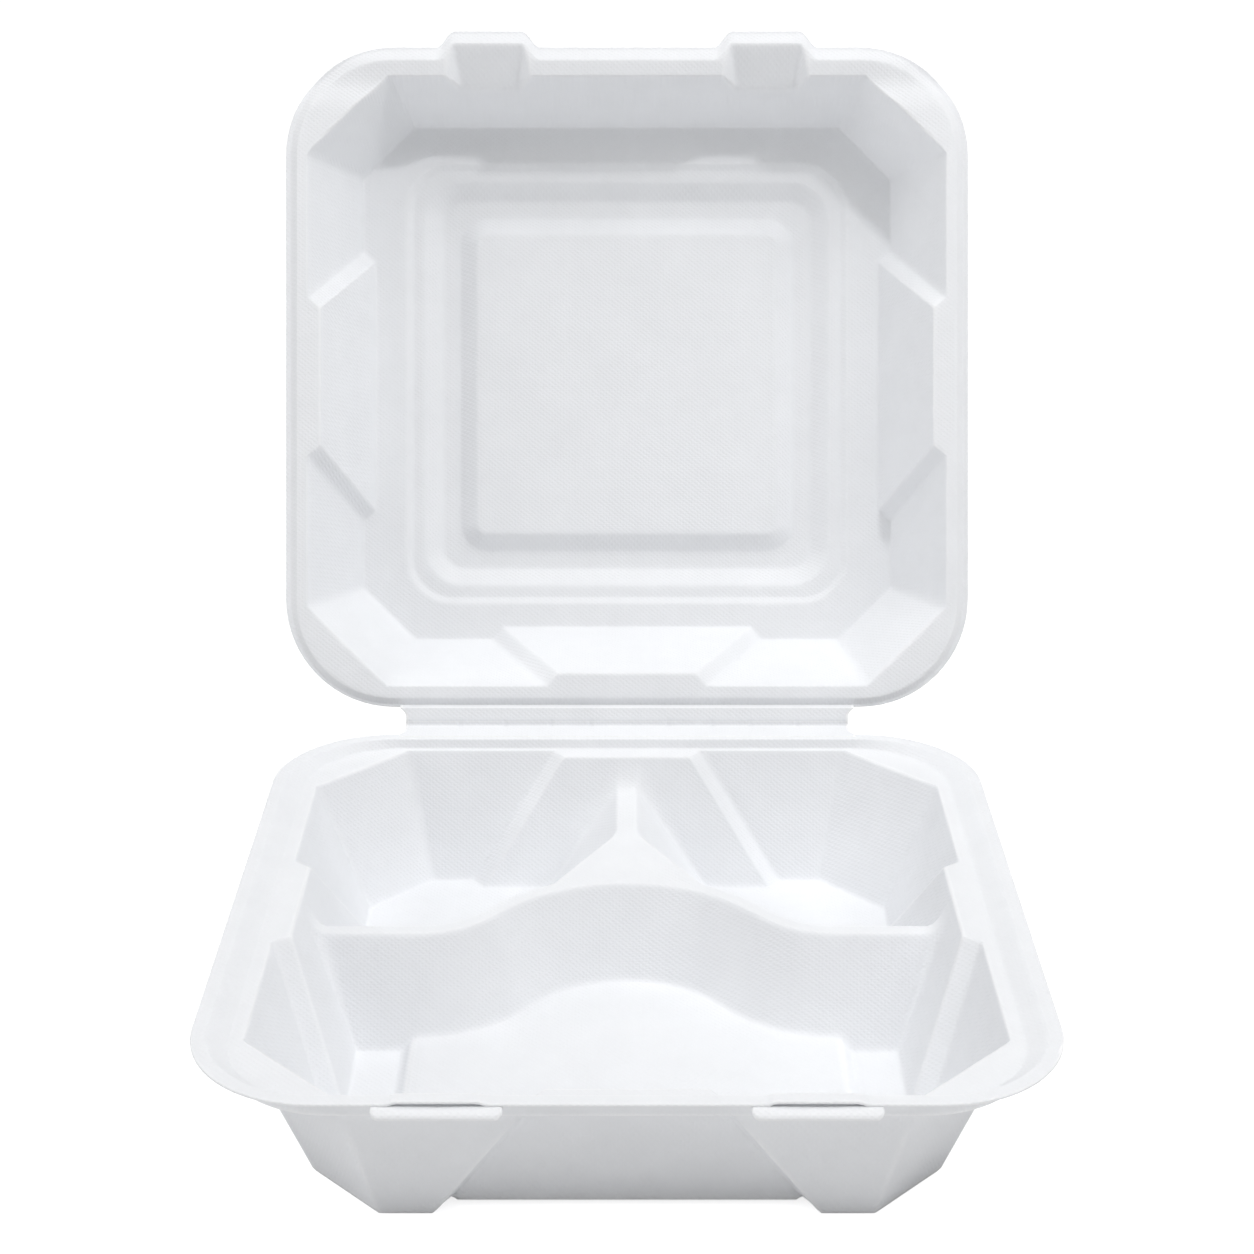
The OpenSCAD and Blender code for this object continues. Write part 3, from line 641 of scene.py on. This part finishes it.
# The lid sheet, lying flat and then stood up: rows from the middle of the roof out over the rim
# and back underneath.
def makeLid():
    plain = (10, 5, 52, 5, 10)
    plan = columnPlan([plain, (8, 56, 52, 56, 8), plain, plain], lidGrid["corner"])
    frontKeys = (tab["x"] - lidGrid["tabSpan"] / 2, lidGrid["tabSpan"])  # close columns along both tabs
    panelTop = (lid["panelTop"] / 2, lid["panelFlank"])
    panelDeep = (lid["panelDeep"] / 2, lid["panelFlank"])
    topKeys = [panelTop, frontKeys, panelTop, panelTop]
    deepKeys = [panelDeep, frontKeys, panelDeep, panelDeep]
    inset = (lid["panelInset"], 0, lid["panelInset"], lid["panelInset"])

    def rect(sizes, keys=topKeys, push=tabPush):
        return ringLine(plan, *sizes, 1.0, keys, (0, 0, 0, 0), (sizes[1] + sizes[2]) / 2, push)

    def outline(inside):
        front = lid["front"] - inside
        return rect((lid["halfWidth"] - inside, lid["strip"] + inside, front, lid["corner"] - inside))

    def square(size, corner):
        return rect((size, roofMiddle - size, roofMiddle + size, corner), deepKeys, None)

    def mouth(grow):
        return cutLine(plan, lidMouthX, lidMouthFold, lidMouthFront, lid["mouthCut"], grow,
                       topKeys, inset, lidMiddle)

    def foot(grow):
        return cutLine(plan, lidDeepX, lidDeepFold, lidDeepFront, lid["deepCut"], grow,
                       deepKeys, inset, lidMiddle)

    middle = np.zeros_like(outline(0)) + np.array([0, roofMiddle])
    rings = [square(roof["one"], roof["cornerOne"]),
             square(roof["one"] - roof["slopeOne"], roof["cornerOne"] - roof["slopeOne"]),
             square(roof["two"], roof["cornerTwo"]),
             square(roof["two"] - roof["slope"], roof["cornerTwo"] - roof["tightTwo"]),
             square(roof["three"], roof["cornerThree"]),
             square(roof["three"] - roof["slope"], roof["cornerThree"] - roof["tightThree"]), middle]

    def lines(edges, grow):
        beads = [rect(beadRect(0)), rect(beadRect(1))]
        return [*[outline(e) for e in edges], *beads, mouth(grow), foot(grow), *rings]

    edgeIn = lid["sheet"] / 2 * (1 - np.cos(np.linspace(0, 0.5 * np.pi, 5)))
    lipSteps = [0, 0.3, 0.6, 0.85]
    beadSteps = [0, 0.05, 0.12, 0.25, 0.4, 0.6, 0.75, 0.88, 0.95]
    landSteps = [0, 0.1, 0.3, 0.6, 0.85, 0.94]
    shoulderSteps = [0, 0.02, 0.05, 0.12, 0.35, 0.7, 0.9]
    stepSteps = [0, 0.05, 0.12, 0.22, 0.36, 0.5, 0.64, 0.78, 0.88, 0.95]
    flatSteps = [0, 0.1, 0.3, 0.6, 0.9]
    middleSteps = [0, 0.01, 0.04, 0.1, 0.3, 0.6, 0.95]
    ringShares = [stepSteps[::2], flatSteps, stepSteps, flatSteps, stepSteps, middleSteps]
    topShares = [[0.0]] * 4 + [lipSteps, beadSteps, landSteps, wallSteps, shoulderSteps, *ringShares]
    topPlan = rowsBetween(lines(edgeIn, 0), topShares)[::-1]
    underRim = [[0, 0.4, 0.8], [0, 0.12, 0.4, 0.7, 0.9], [0, 0.3, 0.7, 0.94]]
    underRoof = [[0, 0.03, 0.1, 0.4, 0.8], *[s[::2] for s in ringShares]]
    underShares = [[0.0]] * 3 + [*underRim, wallSteps[::2], *underRoof]
    underPlan = rowsBetween(lines(edgeIn[1:], lidGrid["underGrow"]), underShares)

    def shaped(points, height, sign):
        x, t = points[..., 0], points[..., 1]
        inside = -roundRect(x, pulledBack(x, t), lid["halfWidth"], lid["strip"], lid["front"], lid["corner"])
        return np.dstack((points, height(x, t) - sign * edgeDrop(inside, lid["sheet"])))

    grid = np.concatenate([shaped(topPlan, lidHeight, 1), shaped(underPlan, lidUnder, -1)])
    x, t = np.zeros(1), np.full(1, roofMiddle)
    poles = np.array([[0, roofMiddle, height(x, t)[0]] for height in (lidHeight, lidUnder)])
    return ringMesh("lid_shell", standLid(grid), *standLid(poles))


# A small flat plate with a rounded outline and rounded edge: rings from the middle of its top round
# to its bottom.
def plateGrid(hx, low, high, r, top, sheet, soft):
    plan = columnPlan([(2, 2, 10, 2, 2)] * 4, 10)
    keys = [(0.3 * min(hx, (high - low) / 2), 0.2)] * 4
    centre = (low + high) / 2
    turns = np.linspace(0, np.pi, 9)
    inset = soft * (1 - np.sin(turns))
    heights = top - sheet / 2 + np.cos(turns) * sheet / 2

    def line(grow):
        corner = max(r - grow, 0.05)
        return ringLine(plan, hx - grow, low + grow, high - grow, corner, 1.0, keys, (0, 0, 0, 0), centre)

    lines = [line(e) for e in inset]
    grid = np.stack([np.column_stack((p, np.full(len(p), z))) for p, z in zip(lines, heights)])
    return grid, (0, centre, top), (0, centre, top - sheet)


tongue = {
    "half": 16.5, "reach": 2.6, "root": 4.0, "top": 44.2, "slope": 0.5,
    "corner": 2.2, "sheet": 1.5, "soft": 0.7,
}


# A tongue under the flange: a plate whose height falls off evenly from the flange edge to its tip.
def makeTongue(name, side):
    front = -tray["halfLength"]
    outline = (tongue["half"], front - tongue["reach"], front + tongue["root"], tongue["corner"])
    grid, first, last = plateGrid(*outline, tongue["top"], tongue["sheet"], tongue["soft"])
    points = np.concatenate((grid.reshape(-1, 3), [first, last]))
    points[:, 0] += side * tray["nibX"]
    points[:, 2] += np.minimum(points[:, 1] - front, 0) * tongue["slope"]
    return ringMesh(name, points[:-2].reshape(grid.shape), points[-2], points[-1])


strip = {
    "half": 75.5, "notch": 3.4, "baseStart": 108.6, "groove": 1.5, "grooveDepth": 0.75, "sheet": 0.9,
    "lidEnd": 6.6, "lidSink": 1.6, "sinkRun": 0.9, "rise": 0.04, "edge": 0.5,
    "bendHalf": 0.6, "blendHalf": 1.2, "closeRows": 2.6, "columns": 301,
    "creases": (-57.0, -41.5, -26.0, -12.5, 14.0, 29.0, 42.0, 58.0), "creaseWidth": 0.7, "creaseDepth": 0.3,
}


# The folded strip: a line from the base flange over the groove to the lid edge, carried along the fold.
# Distance s is negative on the base and positive on the lid; the groove is a bell-shaped dip at s = 0,
# deepened by narrow bell-shaped creases along x; both ends widen by a quarter circle at the two rims.
def makeStrip():
    away = foldY - strip["baseStart"]
    close = strip["closeRows"]
    spans = (np.linspace(-away, 0, 14), np.linspace(0, strip["lidEnd"], 30), np.linspace(-close, close, 41))
    s = np.unique(np.round(np.concatenate(spans), 4))
    u = np.linspace(-1, 1, strip["columns"])
    baseRim = foldY - tray["halfLength"]
    gap = np.where(s < 0, s + baseRim, lid["strip"] - s) / strip["notch"]
    half = strip["half"] + strip["notch"] * (1 - np.sqrt(1 - (1 - np.clip(gap, 0.1, 1)) ** 2))
    x = u[None, :] * half[:, None]
    s = s[:, None]
    creases = np.exp(-(((x[..., None] - np.array(strip["creases"])) / strip["creaseWidth"]) ** 2)).sum(-1)
    dip = strip["grooveDepth"] * np.exp(-2 * (s / strip["groove"]) ** 2)
    dip = dip + strip["creaseDepth"] * creases * np.exp(-((s / strip["groove"]) ** 2))
    dip = dip + strip["lidSink"] * ease(s, strip["lidEnd"] - strip["sinkRun"], strip["lidEnd"])
    outer = np.clip((np.abs(x) - half[:, None] + strip["edge"]) / strip["edge"], 0, 1)
    endDrop = strip["sheet"] / 2 * outer ** 2

    def place(lift):
        angle = lidTurn * ease(s, -strip["bendHalf"], strip["bendHalf"])
        y = foldY + np.where(s < 0, s, s * math.cos(lidTurn)) - lift * np.sin(angle)
        z = tray["rimTop"] + np.where(s < 0, 0, s * math.sin(lidTurn)) + lift * np.cos(angle)
        return np.stack((x, y, z), axis=-1)

    upper = place(strip["rise"] - dip - endDrop)
    lower = place(strip["rise"] - dip - strip["sheet"] + endDrop)
    rows, columns = x.shape
    verts = np.concatenate((upper.reshape(-1, 3), lower.reshape(-1, 3))) * mm
    index = np.arange(rows * columns).reshape(rows, columns)
    quads = gridQuads(index)
    below = quads[:, ::-1] + rows * columns
    loop = np.concatenate((index[0, :-1], index[:-1, -1], index[-1, :0:-1], index[:0:-1, 0]))
    after = np.roll(loop, -1)
    wall = np.stack((loop, loop + rows * columns, after + rows * columns, after), axis=-1)
    return newPiece("fold_strip", verts, np.concatenate((quads, below, wall)).tolist())


fibre = {  # scales are per metre
    "colour": (0.858, 0.868, 0.888), "shade": (0.836, 0.846, 0.866), "roughness": 0.75, "gloss": 0.25,
    "cloudScale": 55.0, "cloudDetail": 5.0, "cloudRough": 0.6, "cloudFrom": 0.35, "cloudTo": 0.65,
    "fibreScale": 1300.0, "fibreDetail": 4.0, "fibreRough": 0.65,
    "printScale": 310.0, "printWobble": 1.2, "printShare": 0.6, "bump": 0.4, "bumpDepth": 0.00025,
    # painted highlight on convex edges: its near-white colour and the span of pointiness over which it comes
    # in
    "highlightColour": (0.97, 0.97, 0.975), "edgeFrom": 0.51, "edgeTo": 0.57, "edgeShare": 0.8,
}


# Pressed white fibre: a matte shell whose colour drifts softly between two shades and is painted whiter on
# # convex edges as a painted highlight, with a bump that adds the mesh print (two crossed wave patterns
# multiplied) to fine noise.
def fibreMaterial():
    mat = bpy.data.materials.new("pressed_fibre")
    mat.use_nodes = True
    nodes, links = mat.node_tree.nodes, mat.node_tree.links
    shader = nodes["Principled BSDF"]
    shader.inputs["Roughness"].default_value = fibre["roughness"]
    shader.inputs["Specular IOR Level"].default_value = fibre["gloss"]
    coord = nodes.new("ShaderNodeTexCoord")
    shape = nodes.new("ShaderNodeNewGeometry")

    def noise(kind):
        node = nodes.new("ShaderNodeTexNoise")
        node.inputs["Scale"].default_value = fibre[kind + "Scale"]
        node.inputs["Detail"].default_value = fibre[kind + "Detail"]
        node.inputs["Roughness"].default_value = fibre[kind + "Rough"]
        links.new(coord.outputs["Object"], node.inputs["Vector"])
        return node.outputs["Fac"]

    def stretched(value, low, high, most=1.0):
        node = nodes.new("ShaderNodeMapRange")
        node.inputs["From Min"].default_value = low
        node.inputs["From Max"].default_value = high
        node.inputs["To Max"].default_value = most
        links.new(value, node.inputs["Value"])
        return node.outputs["Result"]

    def mixed(share, colour):
        node = nodes.new("ShaderNodeMix")
        node.data_type = "RGBA"
        node.inputs["B"].default_value = (*colour, 1)
        links.new(share, node.inputs["Factor"])
        return node

    cloud = mixed(stretched(noise("cloud"), fibre["cloudFrom"], fibre["cloudTo"]), fibre["colour"])
    cloud.inputs["A"].default_value = (*fibre["shade"], 1)
    # painted highlight: convex edges, found by pointiness, are mixed towards near-white where light catches
    # the edges
    edgeHighlight = stretched(shape.outputs["Pointiness"], fibre["edgeFrom"], fibre["edgeTo"], fibre["edgeShare"])
    paintedHighlight = mixed(edgeHighlight, fibre["highlightColour"])
    links.new(cloud.outputs["Result"], paintedHighlight.inputs["A"])
    links.new(paintedHighlight.outputs["Result"], shader.inputs["Base Color"])
    weave = nodes.new("ShaderNodeMath")
    weave.operation = "MULTIPLY"
    for k, turned in enumerate((1, -1)):  # two sets of crossing lines, the print of the mould's wire mesh
        mirror = nodes.new("ShaderNodeMapping")
        mirror.inputs["Scale"].default_value = (turned, 1, 1)
        links.new(coord.outputs["Object"], mirror.inputs["Vector"])
        printed = nodes.new("ShaderNodeTexWave")
        printed.bands_direction = "DIAGONAL"
        printed.inputs["Scale"].default_value = fibre["printScale"]
        printed.inputs["Distortion"].default_value = fibre["printWobble"]
        links.new(mirror.outputs["Vector"], printed.inputs["Vector"])
        links.new(printed.outputs["Fac"], weave.inputs[k])
    both = nodes.new("ShaderNodeMath")
    both.operation = "MULTIPLY_ADD"
    both.inputs[1].default_value = fibre["printShare"]
    links.new(weave.outputs["Value"], both.inputs[0])
    links.new(noise("fibre"), both.inputs[2])
    bump = nodes.new("ShaderNodeBump")
    bump.inputs["Strength"].default_value = fibre["bump"]
    bump.inputs["Distance"].default_value = fibre["bumpDepth"]
    links.new(both.outputs["Value"], bump.inputs["Height"])
    links.new(bump.outputs["Normal"], shader.inputs["Normal"])
    return mat


pulp = fibreMaterial()
trayShell = makeTray()
lidShell = makeLid()
foldStrip = makeStrip()
tongues = [makeTongue("tongue_left", -1), makeTongue("tongue_right", 1)]
for piece in [trayShell, lidShell, foldStrip, *tongues]:
    piece.data.materials.append(pulp)
for piece in [trayShell, *tongues]:
    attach(piece, "tray")
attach(lidShell, "cover")
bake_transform(foldStrip)
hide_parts("base_tray")
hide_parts("lid")
print("pieces placed")

stage = {  # metres and watts
    "floorSize": 12.0, "floorDrop": 0.0004, "floorColour": (0.87, 0.87, 0.87), "floorGlow": 0.75,
    "skyLight": 0.285, "skyColour": (1.0, 1.0, 1.0), "aim": (0, 0.1, 0.08),
    "lamps": {  # power, size, place
        "key_lamp": (5.5, 0.1, (0.59, -0.45, 1.46)),
        "side_lamp": (4.3, 0.6, (0.9, -0.25, 1.3)),
        "top_lamp": (12.3, 1.5, (0.1, 0.05, 1.95)),
        "left_lamp": (7.2, 1.0, (-1.5, -0.2, 0.9)),
        "front_lamp": (1.75, 1.0, (0, -1.6, 0.3)),
    },
}


# 1 for rays from the camera or a glossy surface, so that both see the plain white background.
def seenDirectly(nodes, links):
    path = nodes.new("ShaderNodeLightPath")
    seen = nodes.new("ShaderNodeMath")
    seen.operation = "MAXIMUM"
    links.new(path.outputs["Is Camera Ray"], seen.inputs[0])
    links.new(path.outputs["Is Glossy Ray"], seen.inputs[1])
    return seen.outputs["Value"]


# White floor: plain diffuse, lifted to white for the camera so that only the shadow shows on it.
def makeFloor():
    half = stage["floorSize"] / 2
    z = -stage["floorDrop"]
    mesh = bpy.data.meshes.new("floor")
    corners = [(-half, -half, z), (half, -half, z), (half, half, z), (-half, half, z)]
    mesh.from_pydata(corners, [], [(0, 1, 2, 3)])
    floor = addObject("floor", mesh)
    mat = bpy.data.materials.new("white_floor")
    mat.use_nodes = True
    nodes, links = mat.node_tree.nodes, mat.node_tree.links
    nodes.remove(nodes["Principled BSDF"])
    diffuse = nodes.new("ShaderNodeBsdfDiffuse")
    diffuse.inputs["Color"].default_value = (*stage["floorColour"], 1)
    power = nodes.new("ShaderNodeMath")
    power.operation = "MULTIPLY"
    power.inputs[1].default_value = stage["floorGlow"]
    links.new(seenDirectly(nodes, links), power.inputs[0])
    glow = nodes.new("ShaderNodeEmission")
    links.new(power.outputs["Value"], glow.inputs["Strength"])
    add = nodes.new("ShaderNodeAddShader")
    links.new(diffuse.outputs["BSDF"], add.inputs[0])
    links.new(glow.outputs["Emission"], add.inputs[1])
    links.new(add.outputs["Shader"], nodes["Material Output"].inputs["Surface"])
    floor.data.materials.append(mat)


# Soft sky light from everywhere; what the camera sees of it is white.
def makeSky():
    world = bpy.data.worlds.new("studio")
    bpy.context.scene.world = world
    world.use_nodes = True
    nodes, links = world.node_tree.nodes, world.node_tree.links
    back = nodes["Background"]
    level = nodes.new("ShaderNodeMapRange")
    level.inputs["To Min"].default_value = stage["skyLight"]
    level.inputs["To Max"].default_value = 1.0
    links.new(seenDirectly(nodes, links), level.inputs["Value"])
    links.new(level.outputs["Result"], back.inputs["Strength"])
    back.inputs["Color"].default_value = (*stage["skyColour"], 1)


# A square soft lamp that looks at a point.
def makeLamp(name, power, size, place, aim):
    lamp = bpy.data.lights.new(name, "AREA")
    lamp.energy = power
    lamp.size = size
    holder = addObject(name, lamp)
    holder.location = place
    away = np.array(place) - np.array(aim)
    turn = math.atan2(away[1], away[0]) + math.pi / 2
    tilt = math.atan2(math.hypot(away[0], away[1]), away[2])
    holder.rotation_euler = (tilt, 0, turn)


makeFloor()
makeSky()
for name, (power, size, place) in stage["lamps"].items():
    makeLamp(name, power, size, place, stage["aim"])
print("stage lit")

view = {"place": (0, -0.5987, 0.3678), "down": 21.8, "lens": 66.18, "sensor": 36}
camera = addObject("camera", bpy.data.cameras.new("camera"))
camera.data.sensor_width = view["sensor"]
camera.data.lens = view["lens"]
camera.location = view["place"]
camera.rotation_euler = (math.radians(90 - view["down"]), 0, 0)
bpy.context.scene.camera = camera
bpy.context.scene.view_settings.view_transform = "Standard"
